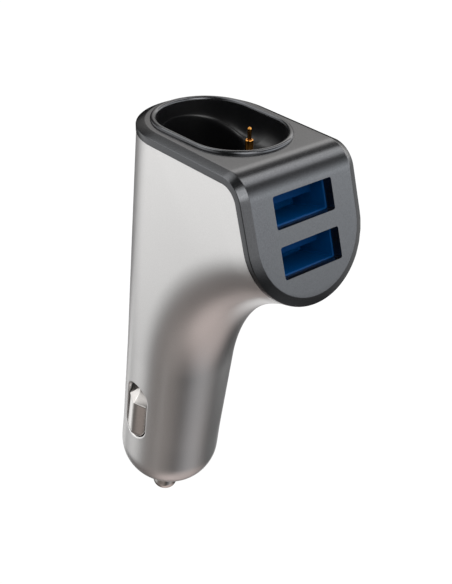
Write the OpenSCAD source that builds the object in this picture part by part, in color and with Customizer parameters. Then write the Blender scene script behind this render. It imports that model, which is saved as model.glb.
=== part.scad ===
// Car charger for a cigarette lighter socket, with two sockets for charging leads
// in a tilted front and an earpiece cradle in the top.
// The barrel stands along Z. The origin is on its axis, in the middle of the plain
// band that fits the lighter socket. The front faces +X and the part mirrors in XZ.

/* [Barrel] */
// Diameter of the plain band at the nose
barrel_d = 20.6; // [19.6:0.1:21.2]
// Length of the plain band
band_len = 5.5; // [4.5:0.1:6]
// Height of the rounded nose below the band
dome_h = 9.2; // [8.4:0.1:10]
// Height above the origin at which the barrel begins to bend
elbow_z = 23.5; // [22:0.5:30]
// Growth of the barrel's radius from the band to the bend, its draft
barrel_draft = 0.45; // [0.3:0.05:0.6]
// Wall of the moulded body
shell_wall = 1.6; // [1.4:0.1:1.8]
// Diameter of the chamber behind the centre contact
chamber_d = 10.6; // [10:0.1:11.5]
// Thickness of the nose round the centre contact
nose_wall = 3; // [2.4:0.1:3.6]

/* [Bent body] */
// Angle that the bend's centre line turns through. Its radius follows from this, since
// it runs from the barrel to the round end of the front
arc_turn = 58; // [56:0.5:60]
// Distance that the neck behind the front lies inside the cover's edge
neck_in = 0.25; // [0.1:0.05:0.5]
// Distance that the head lies inside the cover's edge
head_in = 0.1; // [0.05:0.05:0.3]

/* [Cover] */
// Height of the sloping top above the origin, on the barrel's axis
top_z = 74.9; // [73:0.1:78]
// Slope of the top, rising to the front
top_slope = 9; // [6:0.5:11]
// Lean of the front face from upright
front_tilt = 25.8; // [23:0.1:28]
// Distance from the cradle's opening to the corner that the top makes with the front
corner_reach = 6.6; // [6.4:0.1:7.5]
// Length of the front from that corner to the centre of its round end
front_len = 11.9; // [11.4:0.1:13]
// Radius of the bend between top and front
bend_r = 5.5; // [5:0.1:6.5]
// Width of the cover
cover_w = 25.2; // [25.2:0.1:26]
// Thickness of the cover
cover_t = 2; // [1.8:0.1:2.2]
// Width of the bevel round the cover's edge
bevel_w = 1.6; // [1:0.1:2]
// Depth of that bevel
bevel_h = 0.7; // [0.4:0.1:1]
// Wall of the lip that locates the cover in the body
lip_wall = 0.8; // [0.6:0.1:1]
// Depth of that lip below the cover
lip_depth = 1.6; // [1:0.1:2]

/* [Earpiece cradle] */
// Distance from the opening to the cover's edge at the sides
side_rim = 3.8; // [3.7:0.05:4]
// Distance from the opening to the cover's edge at the back
back_rim = 3.5; // [3.4:0.05:3.8]
// Half length of the straight sides of the opening
cradle_half = 4; // [3.8:0.1:4.4]
// Width of the bead round the opening
bead_w = 1.15; // [1.1:0.05:1.5]
// Height of the bead above the cover
bead_h = 0.6; // [0.4:0.1:0.9]
// Wall of the cradle cup
cup_wall = 0.9; // [0.8:0.1:1]
// Depth of the cradle's shelf
shelf_depth = 5.1; // [4.8:0.1:5.3]
// Depth of the shelf at its back end
back_depth = 2; // [1.5:0.1:3]
// Depth of the shelf at its front end
front_depth = 2.4; // [1.8:0.1:3]
// Radius of the round pocket for the ear tip
pocket_r = 7.4; // [6.8:0.1:7.4]
// Distance from the back end of the opening to the pocket's edge
pocket_in = 0.1; // [0:0.05:0.3]
// Depth of the pocket below the top
pocket_depth = 20; // [16:0.5:21]

/* [Charging pin] */
// Distance of the pin behind the front end of the opening
pin_in = 5.4; // [5:0.1:6]
// Diameter of the pin's barrel
pin_d = 1.6; // [1.4:0.1:2]
// Diameter of the sprung plunger
plunger_d = 0.8; // [0.7:0.05:1]
// Height of the plunger's tip above the top of the cover
plunger_up = 2; // [1.5:0.1:2.2]
// Depth of the shoulder of the pin's barrel below the top of the cover
shoulder_down = 0.2; // [0:0.1:1]
// Travel of the plunger
plunger_travel = 1.2; // [0.8:0.1:1.4]

/* [Charging sockets] */
// Width of each socket's opening
port_w = 12.9; // [12.5:0.1:13.2]
// Height of each socket's opening
port_h = 5.6; // [5.2:0.1:5.8]
// Distance from the top corner to the middle of the first socket
port_first = 7.05; // [6.9:0.05:7.5]
// Distance between the sockets
port_pitch = 8.5; // [8.2:0.1:8.8]
// Depth of the blue insert
liner_len = 9; // [8:0.1:9.5]
// Wall of the insert
liner_wall = 0.65; // [0.5:0.05:0.7]
// Thickness of the steel shield round the insert
shield_t = 0.3; // [0.2:0.05:0.4]
// Thickness of the tongue that carries the contacts
tongue_t = 1.8; // [1.5:0.1:2]
// Length of that tongue
tongue_len = 6; // [5:0.1:6.5]

/* [Centre contact] */
// Diameter of the centre contact
tip_d = 5.2; // [4.6:0.1:5.6]
// Length that it stands out of the nose
tip_out = 5.8; // [5:0.1:6.5]
// Travel of the centre contact
tip_travel = 3; // [2:0.1:3.2]
// Diameter of its flange inside the nose
tip_flange_d = 8.4; // [7.6:0.1:9]
// Thickness of the disc that its spring pushes against
seat_t = 1.2; // [1:0.1:1.6]

/* [Side contacts] */
// Height of the middle of the side slots above the origin
slot_z = 9.95; // [9.9:0.05:10.5]
// Length of a side slot
slot_len = 13.9; // [13:0.1:14.2]
// Width of a side slot
slot_w = 6.2; // [5.6:0.1:6.4]
// Travel of a side contact, which takes it from its stop to just below the band
crown_travel = 1.2; // [0.8:0.1:1.4]

/* [Circuit boards] */
// Thickness of the circuit boards
board_t = 1.2; // [1:0.1:1.6]
// Diameter of the choke
choke_d = 9.4; // [8:0.1:10]
// Height of the choke above its board
choke_h = 5.8; // [4:0.1:6.2]
// Diameter of the capacitors
cap_d = 6.3; // [5:0.1:6.5]
// Length of the capacitors
cap_len = 9; // [7:0.5:10]

/* [Clearances] */
// Gap round a piece that is pushed in and stays
fit_gap = 0.1; // [0.05:0.01:0.15]
// Gap round a piece that slides
slide_gap = 0.25; // [0.2:0.01:0.3]
// Radial gap of the plunger in its barrel
plunger_gap = 0.08; // [0.05:0.01:0.1]

/* [Hidden] */
$fn = 64;
eps = 0.01;

// Heights and diameters along the barrel
elbow_d = barrel_d + 2*barrel_draft;
bore_d = barrel_d - 2*shell_wall;
band_top = band_len/2;
band_bottom = -band_len/2;
nose_z = band_bottom - dome_h;
chamber_z = nose_z + nose_wall;
tip_flange_t = 1;
tip_spring_solid = 3.5;
ledge_z = chamber_z + tip_flange_t + tip_travel + tip_spring_solid;
seat_top = ledge_z + seat_t;

// Cradle's opening in the frame of the top, from the cover's edges inwards
cradle_r = cover_w/2 - side_rim;
cradle_back = back_rim - cover_w/2;
cradle_s = cradle_back + cradle_r + cradle_half;
cradle_front = cradle_s + cradle_half + cradle_r;

// Corner of top and front, and the directions down the front and out of it
top_len = cradle_front + corner_reach;
corner = [top_len*cos(top_slope), top_z + top_len*sin(top_slope)];
front_dir = [sin(front_tilt), -cos(front_tilt)];
front_out = [cos(front_tilt), sin(front_tilt)];
bend_turn = 90 + top_slope - front_tilt;
bend_tangent = bend_r*tan(bend_turn/2);
bend_centre = corner + front_dir*bend_tangent - front_out*bend_r;
bend_grow = 0.02;

// The bent body. Its centre line leaves the barrel upright, turns, and then runs straight
// to the middle of the front's round end, which gives the bend's radius
neck_d = cover_w - 2*neck_in;
head_d = cover_w - 2*head_in;
back_growth = (head_d - elbow_d)/2/(top_z - elbow_z);
round_middle = corner + front_dir*front_len - front_out*cover_t;
arc_r = ((round_middle[1] - elbow_z)*sin(arc_turn) - round_middle[0]*cos(arc_turn))/(1 - cos(arc_turn));
arc_centre = [arc_r, elbow_z];
straight_run = (round_middle[0] - arc_r*(1 - cos(arc_turn)))/sin(arc_turn);
past_corner = (corner - round_middle)*[sin(arc_turn), cos(arc_turn)];
neck_run = straight_run + past_corner + bend_r;
lip_leg = 3;
loft_steps = 18;
round_steps = 16;
bend_steps = 10;

// Cradle and pocket, in the frame of the sloping top
cup_r = cradle_r + cup_wall;
shelf_t = 1.2;
pocket_bottom_t = 1.2;
boss_d = 3.4;
boss_h = 1.2;
pocket_s = cradle_back + pocket_in + pocket_r;
pin_s = cradle_front - pin_in;
ramp_end = pocket_s + 1.1;
front_ramp = cradle_front - 3.9;
plunger_in = 2.6;
pin_tail = 1.6;
dock_x0 = pin_s - 3.6;
dock_x1 = pin_s + 1.3;
dock_w = 10;

// Sockets, measured down the front and back from it
port_second = port_first + port_pitch;
shield_h = port_h + liner_wall + 2*fit_gap + 2*shield_t;
shield_w = port_w + liner_wall + 2*fit_gap + 2*shield_t;
usb_board_front = cover_t + liner_len + shield_t;
usb_edge = 0.3;
usb_board_top = port_first - 2;
usb_board_len = port_second + shield_h/2 + usb_edge - usb_board_top;
usb_board_w = shield_w + 2*usb_edge;
contact_w = 1;
contact_pitch = 2.2;

// Side contacts
crown_r = barrel_d/2 + crown_travel - 0.2;
crown_ramp = 4.6;
flange_w = slot_w + 1.8;
flange_len = slot_len + 2;
flange_t = 1;
flange_y = sqrt(pow(bore_d/2, 2) - pow(flange_w/2, 2)) - 0.15;
side_spring_d = 3.6;
side_wire = 0.45;
tip_stem_d = 3;
tip_stem_len = tip_spring_solid - 1.5;
tip_spring_d = 5.6;
tip_wire = 0.55;

// Puts children in the frame of the top: X along its slope, Z out of it
module on_top() {
    translate([0, 0, top_z])
        rotate([0, -top_slope, 0])
            children();
}

// Puts children in the frame of the front: X down it from the corner, Z out of it
module on_front() {
    translate([corner[0], 0, corner[1]])
        rotate([0, 90 - front_tilt, 0])
            children();
}

// Extrudes a side view, drawn in X and Z, to both sides of the mirror plane
module side_extrude(width) {
    rotate([90, 0, 0])
        linear_extrude(height = width, center = true)
            children();
}

// Carries a section, drawn across and out of the cover, along the top
module wrap_top() {
    on_top()
        rotate([90, 0, 90])
            linear_extrude(height = top_len - bend_tangent + eps)
                children();
}

// Carries a section round the bend between top and front
module wrap_bend() {
    translate([bend_centre[0], 0, bend_centre[1]])
        rotate([90, 0, 0])
            rotate([0, 0, front_tilt])
                rotate_extrude(angle = bend_turn)
                    translate([bend_r, 0])
                        rotate(-90)
                            children();
}

// Carries a section down the front
module wrap_front() {
    on_front()
        translate([bend_tangent - eps, 0, 0])
            rotate([90, 0, 90])
                linear_extrude(height = front_len - bend_tangent + eps)
                    children();
}

// Spins half of a section round one end of the cover
module wrap_end(from) {
    rotate([0, 0, from])
        rotate_extrude(angle = 180)
            children();
}

// Outline of the cover's section: a plate with bevelled edges, or half of it. It can be
// grown on both faces, so that the bend overlaps the lengths that it runs into
module cover_section(left, grow) {
    half = cover_w/2;
    polygon([[left*half, -cover_t - grow], [half, -cover_t - grow], [half, -bevel_h + grow],
             [half - bevel_w, grow], [left*(half - bevel_w), grow], [left*half, -bevel_h + grow]]);
}

// Side view of all that lies under the wrap at a given depth
module under_wrap(depth) {
    top_dir = [cos(top_slope), sin(top_slope)];
    top_out = [-sin(top_slope), cos(top_slope)];
    back = [0, top_z] - top_out*depth;
    far = 40;
    bend = [for (i = [bend_steps:-1:0])
               let (a = front_tilt + bend_turn*i/bend_steps)
               bend_centre + (bend_r - depth)*[cos(a), sin(a)]];
    polygon(concat([back - top_dir*far], bend, [corner + front_dir*far - front_out*depth,
                                                [far, -far], [-far, -far]]));
}

// One section of the bent body, on a plane that turns with the bend: the neck's half
// circle inside the bend, the back's half ellipse outside it, flat sides between
function body_ring(turn, run, inset) =
    let (neck = elbow_d/2 + (neck_d - elbow_d)/2*turn/arc_turn - inset,
         back_mid = arc_r/cos(turn),
         back_h = arc_r*tan(turn),
         back_half = min(elbow_d/2 + back_growth*back_h, head_d/2) - inset,
         back_far = min((arc_r + elbow_d/2 - inset)/(cos(turn) - back_growth*sin(turn)),
                        (arc_r + head_d/2 - inset)/cos(turn)),
         out = [-cos(turn), sin(turn)],
         shift = [arc_centre[0] + run*sin(turn), arc_centre[1] + run*cos(turn)],
         flat = concat([for (i = [0:round_steps])
                            let (a = -90 + 180*i/round_steps)
                            [arc_r - neck*cos(a), neck*sin(a)]],
                       [for (i = [0:round_steps])
                            let (a = 90 - 180*i/round_steps)
                            [back_mid + (back_far - back_mid)*cos(a), back_half*sin(a)]]))
    [for (p = flat) [shift[0] + out[0]*p[0], p[1], shift[1] + out[1]*p[0]]];

// Skins a list of rings that have as many points each, and closes both ends
module loft(rings) {
    n = len(rings[0]);
    last = len(rings) - 1;
    sides = [for (k = [0:last - 1]) for (i = [0:n - 1])
                let (a = k*n + i, b = k*n + (i + 1)%n)
                for (tri = [[a, a + n, b + n], [a, b + n, b]]) tri];
    low = [for (i = [0:n - 1]) i];
    high = [for (i = [0:n - 1]) last*n + n - 1 - i];
    polyhedron(points = [for (r = rings) for (p = r) p],
               faces = concat(sides, [low], [high]));
}

// The bend and the head, either their outside or, with an inset, the hollow in them
module bent_body(inset) {
    turns = [for (k = [0:loft_steps]) arc_turn*k/loft_steps];
    loft(concat([for (a = turns) body_ring(a, 0, inset)],
                [body_ring(arc_turn, neck_run, inset)]));
}

// A slot with round ends, drawn upright round its middle
module slot_outline(width, height) {
    straight = (height - width)/2;
    square([width, 2*straight], center = true);
    for (side = [-1, 1])
        translate([0, side*straight])
            circle(d = width);
}

// The opening's outline with round ends, drawn along the top
module cradle_outline(radius) {
    translate([cradle_s, 0])
        rotate(90)
            slot_outline(2*radius, 2*radius + 2*cradle_half);
}

// The nose and barrel outside: round nose, plain band, then a light draft
module barrel_outside() {
    flat_r = barrel_d/2 - dome_h;
    rotate_extrude()
        intersection() {
            union() {
                translate([flat_r, band_bottom])
                    circle(r = dome_h);
                translate([0, nose_z])
                    square([flat_r, dome_h]);
            }
            translate([0, nose_z])
                square([barrel_d, dome_h]);
        }
    translate([0, 0, band_bottom])
        cylinder(d = barrel_d, h = band_len);
    translate([0, 0, band_top])
        cylinder(d1 = barrel_d, d2 = elbow_d + 2*eps, h = elbow_z - band_top);
}

module side_slots() {
    translate([0, 0, slot_z])
        rotate([90, 0, 0])
            linear_extrude(height = 2*elbow_d, center = true)
                slot_outline(slot_w, slot_len);
}

module body_shell() {
    color("silver")
    difference() {
        intersection() {
            union() {
                barrel_outside();
                bent_body(0);
            }
            side_extrude(2*head_d)
                under_wrap(cover_t);
        }
        bent_body(shell_wall);
        translate([0, 0, ledge_z])
            cylinder(d = bore_d, h = elbow_z - ledge_z + 1);
        translate([0, 0, chamber_z])
            cylinder(d = chamber_d, h = elbow_z - chamber_z);
        translate([0, 0, nose_z - 1])
            cylinder(d = tip_d + 2*slide_gap, h = dome_h);
        side_slots();
    }
}

// The rectangular openings in the cover for the two sockets
module port_openings() {
    for (u = [port_first, port_second])
        on_front()
            translate([u, 0, -cover_t/2])
                cube([port_h, port_w, 2*cover_t], center = true);
}

// Half of the locating lip's section
module lip_section() {
    outer = neck_d/2 - shell_wall - slide_gap;
    translate([outer - lip_wall, -cover_t - lip_depth])
        square([lip_wall, lip_depth + eps]);
}

module top_cover() {
    color("dimgray")
    difference() {
        union() {
            wrap_top()
                cover_section(-1, 0);
            wrap_bend()
                cover_section(-1, bend_grow);
            wrap_front()
                cover_section(-1, 0);
            on_top()
                wrap_end(90)
                    cover_section(0, 0);
            on_front()
                translate([front_len, 0, 0])
                    wrap_end(-90)
                        cover_section(0, 0);
            on_front()
                translate([front_len, 0, 0])
                    wrap_end(-90)
                        lip_section();
            for (side = [0, 1])
                mirror([0, side, 0])
                    on_front()
                        translate([front_len - lip_leg, 0, 0])
                            rotate([90, 0, 90])
                                linear_extrude(height = lip_leg)
                                    lip_section();
        }
        on_top()
            translate([0, 0, -2*cover_t])
                linear_extrude(height = 3*cover_t)
                    cradle_outline(cup_r + fit_gap);
        port_openings();
        for (u = [port_first, port_second])
            at_port(u)
                translate([0, 0, -liner_len/2 - eps])
                    cube([shield_h + 2*fit_gap, shield_w + 2*fit_gap, liner_len], center = true);
    }
}

// Side view of the space above the cradle's shelf, in the top's frame
module above_shelf(drop, rise) {
    reach = cup_r + cradle_half + 1;
    polygon([[cradle_s - reach, rise + 1], [cradle_s - reach, -back_depth - drop],
             [ramp_end, -shelf_depth - drop], [front_ramp, -shelf_depth - drop],
             [cradle_s + reach, -front_depth - drop], [cradle_s + reach, rise + 1]]);
}

// A prism of the cradle's outline up to a height, cut off below by the shelf's side view
module cradle_block(radius, drop, rise) {
    intersection() {
        translate([0, 0, -shelf_depth - drop - 1])
            linear_extrude(height = shelf_depth + drop + 1 + rise)
                cradle_outline(radius);
        side_extrude(4*radius)
            above_shelf(drop, rise);
    }
}

// Section of the bead that stands on the cover round the opening, with a round top
module bead_section() {
    round_r = bead_w/2;
    translate([cradle_r, 0]) {
        intersection() {
            square([bead_w, bead_h]);
            translate([round_r, bead_h - round_r])
                circle(r = round_r);
        }
        if (bead_h > round_r)
            square([bead_w, bead_h - round_r]);
    }
}

// Carries a section round the cradle's opening
module round_cradle() {
    for (side = [0, 1])
        mirror([0, side, 0])
            translate([cradle_s - cradle_half, 0, 0])
                rotate([90, 0, 90])
                    linear_extrude(height = 2*cradle_half)
                        children();
    for (end = [-1, 1])
        translate([cradle_s + end*cradle_half, 0, 0])
            rotate([0, 0, -90*end])
                rotate_extrude(angle = 180)
                    children();
}

module cradle_cup() {
    color([0.05, 0.05, 0.05])
    on_top()
    difference() {
        union() {
            cradle_block(cup_r, shelf_t, 0);
            round_cradle()
                bead_section();
            translate([pocket_s, 0, -pocket_depth - pocket_bottom_t])
                cylinder(r = pocket_r + cup_wall, h = pocket_depth - back_depth);
            translate([pin_s, 0, -shelf_depth - shelf_t])
                cylinder(d = boss_d, h = shelf_t + boss_h);
        }
        difference() {
            cradle_block(cradle_r, 0, 2*bead_h);
            translate([pin_s, 0, -shelf_depth - shelf_t])
                cylinder(d = boss_d, h = shelf_t + boss_h);
        }
        translate([pocket_s, 0, -pocket_depth])
            cylinder(r = pocket_r, h = pocket_depth);
        translate([pin_s, 0, -2*shelf_depth])
            cylinder(d = pin_d + 2*fit_gap, h = 2*shelf_depth);
    }
}

module charge_pin_barrel() {
    length = shelf_depth + shelf_t + pin_tail - shoulder_down;
    color("goldenrod")
    on_top()
    translate([pin_s, 0, -shoulder_down - length])
    difference() {
        cylinder(d = pin_d, h = length);
        translate([0, 0, length - plunger_in - plunger_travel - 0.3])
            cylinder(d = plunger_d + 2*plunger_gap, h = length);
    }
}

module charge_pin_plunger() {
    length = plunger_up + shoulder_down + plunger_in;
    color("gold")
    on_top()
    translate([pin_s, 0, plunger_up - length])
    {
        cylinder(d = plunger_d, h = length - plunger_d/2);
        translate([0, 0, length - plunger_d/2])
            sphere(d = plunger_d);
    }
}

module dock_board() {
    color("darkgreen")
    on_top()
    difference() {
        translate([dock_x0, -dock_w/2, -shelf_depth - shelf_t - board_t])
            cube([dock_x1 - dock_x0, dock_w, board_t]);
        translate([pin_s, 0, -3*shelf_depth])
            cylinder(d = pin_d + 2*fit_gap, h = 3*shelf_depth);
    }
}

module dock_header() {
    pin_t = 0.64;
    pin_len = 4.5;
    pin_pitch = 2.54;
    color("gold")
    on_top()
    for (side = [-1, 1])
        translate([dock_x0 + 1, side*pin_pitch/2 - pin_t/2, -shelf_depth - shelf_t - board_t - pin_len])
            cube([pin_t, pin_t, pin_len]);
}

// Puts a socket's pieces at its middle: X down the front, Z out, zero behind the cover
module at_port(u) {
    on_front()
        translate([u, 0, -cover_t])
            children();
}

// Blue insert: a box open to the front, with the tongue standing from its back
module usb_liner(u) {
    color("navy")
    at_port(u) {
        difference() {
            translate([-port_h/2 - liner_wall/2, -port_w/2 - liner_wall/2, -liner_len])
                cube([port_h + liner_wall, port_w + liner_wall, liner_len]);
            translate([-port_h/2 + liner_wall/2, -port_w/2 + liner_wall/2, liner_wall - liner_len])
                cube([port_h - liner_wall, port_w - liner_wall, liner_len]);
        }
        translate([-port_h/2 + liner_wall/2 + 0.4, -port_w/2 + 1, liner_wall - liner_len - eps])
            cube([tongue_t, port_w - 2, tongue_len]);
    }
}

module usb_contacts(u) {
    color("gold")
    at_port(u)
        for (k = [-1.5:1:1.5])
            translate([-port_h/2 + liner_wall/2 + 0.4 + tongue_t, k*contact_pitch - contact_w/2,
                       liner_wall - liner_len])
                cube([0.2, contact_w, tongue_len - 0.8]);
}

module usb_shield(u) {
    color("lightgray")
    at_port(u)
    difference() {
        translate([-shield_h/2, -shield_w/2, -liner_len - shield_t])
            cube([shield_h, shield_w, liner_len + shield_t]);
        translate([-shield_h/2 + shield_t, -shield_w/2 + shield_t, -liner_len])
            cube([shield_h - 2*shield_t, shield_w - 2*shield_t, liner_len + 1]);
    }
}

module usb_board() {
    color("darkgreen")
    on_front()
        translate([usb_board_top, -usb_board_w/2, -usb_board_front - board_t])
            cube([usb_board_len, usb_board_w, board_t]);
}

// Point behind the front face: a distance down from the corner, then a depth back
function behind_front(down, depth) = corner + front_dir*down - front_out*depth;

// Side view of the main board: full width in the barrel, then along the bend up to
// the back of the board that carries the sockets
module main_board_outline() {
    half = bore_d/2 - slide_gap;
    clear = 1.5;
    deep = pocket_depth + pocket_bottom_t;
    wide = pocket_r + cup_wall;
    pocket_low = top_z + pocket_s*sin(top_slope) - deep*cos(top_slope) - wide*sin(top_slope);
    pocket_front = (pocket_s + wide)*cos(top_slope) + deep*sin(top_slope);
    top_front = behind_front(usb_board_top + usb_board_len/5, usb_board_front + board_t);
    low_front = behind_front(usb_board_top + usb_board_len, usb_board_front + board_t);
    difference() {
        polygon([[-half, seat_top], [half, seat_top], [half, elbow_z], [low_front[0], elbow_z],
                 low_front, top_front, [pocket_front + clear, pocket_low - clear],
                 [-half, pocket_low - clear]]);
        translate(arc_centre)
            circle(r = arc_r - elbow_d/2 + shell_wall + clear);
    }
}

module main_board() {
    color("darkgreen")
    side_extrude(board_t)
        main_board_outline();
}

module choke() {
    flange = 1;
    winding_in = 1.2;
    color("dimgray")
    translate([0, -board_t/2, elbow_z + choke_d])
    rotate([90, 0, 0]) {
        cylinder(d = choke_d, h = flange);
        cylinder(d = choke_d - 2*winding_in, h = choke_h);
        translate([0, 0, choke_h - flange])
            cylinder(d = choke_d, h = flange);
    }
}

// The capacitors stand side by side on the far face of the board
module capacitor(side) {
    color("midnightblue")
    translate([side*(cap_d/2 + slide_gap), board_t/2 + cap_d/2, elbow_z + cap_d/2])
        cylinder(d = cap_d, h = cap_len);
}

// Chip on the near face, above the choke
module controller_chip() {
    size = [5, 1.5, 6];
    color([0.1, 0.1, 0.1])
    translate([-size[0]/2, -board_t/2 - size[1], elbow_z + 1.5*choke_d + 1])
        cube(size);
}

// Chip on the far face, above the capacitors
module rectifier_chip() {
    size = [4, 1.2, 4.5];
    color([0.1, 0.1, 0.1])
    translate([-size[0]/2, board_t/2, elbow_z + cap_d/2 + cap_len + 1])
        cube(size);
}

// Insulating disc on the ledge of the bore, with the main board standing on it
module spring_seat() {
    color("ivory")
    translate([0, 0, ledge_z])
        cylinder(d = bore_d - 2*fit_gap, h = seat_t);
}

module centre_contact() {
    round_r = 1.6;
    bottom = nose_z - tip_out;
    color("lightgray") {
        rotate_extrude() {
            translate([0, bottom + round_r])
                square([tip_d/2, chamber_z - bottom - round_r]);
            translate([0, bottom])
                square([tip_d/2 - round_r, round_r]);
            intersection() {
                translate([tip_d/2 - round_r, bottom + round_r])
                    circle(r = round_r);
                translate([0, bottom])
                    square([tip_d, round_r]);
            }
        }
        translate([0, 0, chamber_z])
            cylinder(d = tip_flange_d, h = tip_flange_t);
        translate([0, 0, chamber_z])
            cylinder(d = tip_stem_d, h = tip_flange_t + tip_stem_len);
    }
}

// A coil spring along Z with flat-lying ends, swept by a round wire
module coil_spring(outer_d, wire, length, turns, around, sides) {
    coil_r = (outer_d - wire)/2;
    steps = turns*around;
    climb = length - wire - 2*eps;
    loft([for (k = [0:steps])
             let (a = 360*k/around, z = wire/2 + eps + climb*k/steps)
             [for (i = [0:sides - 1])
                 let (b = -360*i/sides, r = coil_r + wire/2*cos(b))
                 [r*cos(a), r*sin(a), z + wire/2*sin(b)]]]);
}

module tip_spring() {
    start = chamber_z + tip_flange_t;
    color("lightgray")
    translate([0, 0, start])
        coil_spring(tip_spring_d, tip_wire, ledge_z - start, 5, 16, 6);
}

// Crowned contact: a revolved profile cut to the slot, with a flange behind the wall
module side_contact() {
    width = slot_w - 2*slide_gap;
    height = slot_len - 2*slide_gap;
    low = slot_z - height/2;
    high = slot_z + height/2;
    edge_r = barrel_d/2 - 0.5;
    color("lightgray") {
        intersection() {
            rotate_extrude() {
                polygon([[0, low], [edge_r, low], [crown_r - 0.3, low + 0.6], [crown_r, low + 1.6],
                         [crown_r, high - crown_ramp], [edge_r, high], [0, high]]);
            }
            translate([0, -flange_y + eps, slot_z])
                rotate([90, 0, 0])
                    linear_extrude(height = crown_r)
                        slot_outline(width, height);
        }
        translate([-flange_w/2, -flange_y, slot_z - flange_len/2])
            cube([flange_w, flange_t, flange_len]);
    }
}

module side_spring() {
    length = flange_y - flange_t - board_t/2;
    color("lightgray")
    translate([0, -board_t/2, slot_z])
        rotate([90, 0, 0])
            coil_spring(side_spring_d, side_wire, length, 5, 12, 6);
}

body_shell();
top_cover();
cradle_cup();
charge_pin_barrel();
charge_pin_plunger();
dock_board();
dock_header();
usb_liner(port_first);  // usb_liner_upper
usb_liner(port_second);  // usb_liner_lower
usb_contacts(port_first);  // usb_contacts_upper
usb_contacts(port_second);  // usb_contacts_lower
usb_shield(port_first);  // usb_shield_upper
usb_shield(port_second);  // usb_shield_lower
usb_board();
main_board();
choke();
capacitor(-1);  // input_capacitor
capacitor(1);  // output_capacitor
controller_chip();
rectifier_chip();
spring_seat();
centre_contact();
tip_spring();
side_contact();  // side_contact_near
mirror([0, 1, 0]) side_contact();  // side_contact_far
side_spring();  // side_spring_near
mirror([0, 1, 0]) side_spring();  // side_spring_far
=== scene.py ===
import math

import bpy
import bmesh
import numpy as np
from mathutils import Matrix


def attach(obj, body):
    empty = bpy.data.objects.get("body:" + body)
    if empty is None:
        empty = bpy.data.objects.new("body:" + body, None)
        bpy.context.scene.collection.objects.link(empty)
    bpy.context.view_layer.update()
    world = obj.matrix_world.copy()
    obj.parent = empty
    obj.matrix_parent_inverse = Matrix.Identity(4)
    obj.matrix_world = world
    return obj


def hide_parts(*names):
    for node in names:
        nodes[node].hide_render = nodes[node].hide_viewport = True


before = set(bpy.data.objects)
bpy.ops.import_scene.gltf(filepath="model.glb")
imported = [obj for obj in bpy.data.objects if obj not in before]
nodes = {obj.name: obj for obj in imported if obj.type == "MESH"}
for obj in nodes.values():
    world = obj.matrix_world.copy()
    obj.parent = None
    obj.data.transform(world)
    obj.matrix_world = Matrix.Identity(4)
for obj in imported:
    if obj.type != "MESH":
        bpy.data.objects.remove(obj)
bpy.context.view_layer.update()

scene = bpy.context.scene
MM = 0.001

# Camera
# The photograph looks at the near side from the front right and well above, with a
# long lens, and rolls the picture by a few degrees.
CAMERA_PLACE_MM = (128.57, -115.13, 168.53)
CAMERA_AZIMUTH, CAMERA_ELEVATION, CAMERA_ROLL = 45.66, 37.15, 8.32
CAMERA_LENS_MM, CAMERA_SENSOR_MM, CAMERA_CLIP_M = 68.52, 36, (0.01, 20)


def camera_axes(azimuth, elevation, roll):
    """Right, up and back of a camera that looks along +Y at azimuth 0, goes round by
    the azimuth, up by the elevation, and then turns about its own view line."""
    a, e, r = np.radians([azimuth, elevation, roll])
    back = np.array([np.sin(a)*np.cos(e), -np.cos(a)*np.cos(e), np.sin(e)])
    right = np.array([np.cos(a), np.sin(a), 0.0])
    up = np.cross(back, right)
    return np.array([np.cos(r)*right + np.sin(r)*up, np.cos(r)*up - np.sin(r)*right, back])


camera = bpy.data.objects.new("camera", bpy.data.cameras.new("camera"))
camera_matrix = np.eye(4)
camera_matrix[:3, :3] = camera_axes(CAMERA_AZIMUTH, CAMERA_ELEVATION, CAMERA_ROLL).T
camera_matrix[:3, 3] = np.array(CAMERA_PLACE_MM)*MM
camera.matrix_world = camera_matrix.T.tolist()
camera.data.lens = CAMERA_LENS_MM
camera.data.sensor_width = CAMERA_SENSOR_MM
camera.data.clip_start, camera.data.clip_end = CAMERA_CLIP_M
scene.collection.objects.link(camera)
scene.camera = camera

# Housing
# One injection-moulded ABS shell: a barrel with a rounded nose that bends forward into
# a wide head. Its outside has a satin silver lacquer, with fine metal flake under it.
BARREL_R, BAND_HALF, DOME_R = 10.3, 2.75, 9.2
ELBOW_Z, ELBOW_R, WALL = 23.5, 10.75, 1.6
ARC_TURN, NECK_R, HEAD_R = math.radians(58), 12.35, 12.5
TOP_Z, TOP_SLOPE, TOP_LEN = 74.9, 9.0, 23.1
FRONT_TILT, FRONT_LEN, BEND_R, COVER_T = 25.8, 11.9, 5.5, 2.0
NOSE_Z = -BAND_HALF - DOME_R
TIP_HOLE_R, CHAMBER_R, CHAMBER_Z, BORE_R, LEDGE_Z = 2.85, 5.3, -8.95, 8.7, -1.45
SLOT_Z, SLOT_W, SLOT_LEN, SLOT_EDGE = 9.95, 6.2, 13.9, 0.3
# Columns of a half ring, samples along its curve, and rings through the bend and beyond
HALF_RING, CURVE_SAMPLES, TURN_RINGS, RUN_RINGS = 96, 181, 500, 100
# Points closer than the first merge, and edges shorter than the second go, in metres
MERGE_M, SLIVER_M = 2e-6, 1e-7


def linear_rgba(hex_colour):
    """The sRGB hex colour as the linear RGBA that shaders take."""
    c = np.array([int(hex_colour[i:i + 2], 16) for i in (1, 3, 5)])/255
    c = np.where(c <= 0.04045, c/12.92, ((c + 0.055)/1.055)**2.4)
    return (*c.tolist(), 1.0)


def add_node(tree, kind, settings=(), links=()):
    """Adds one node, sets its properties or input values by name, and links inputs."""
    node = tree.nodes.new(kind)
    for name, value in dict(settings).items():
        if isinstance(name, str) and hasattr(node, name):
            setattr(node, name, value)
        else:
            node.inputs[name].default_value = value
    for name, socket in dict(links).items():
        tree.links.new(socket, node.inputs[name])
    return node


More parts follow.
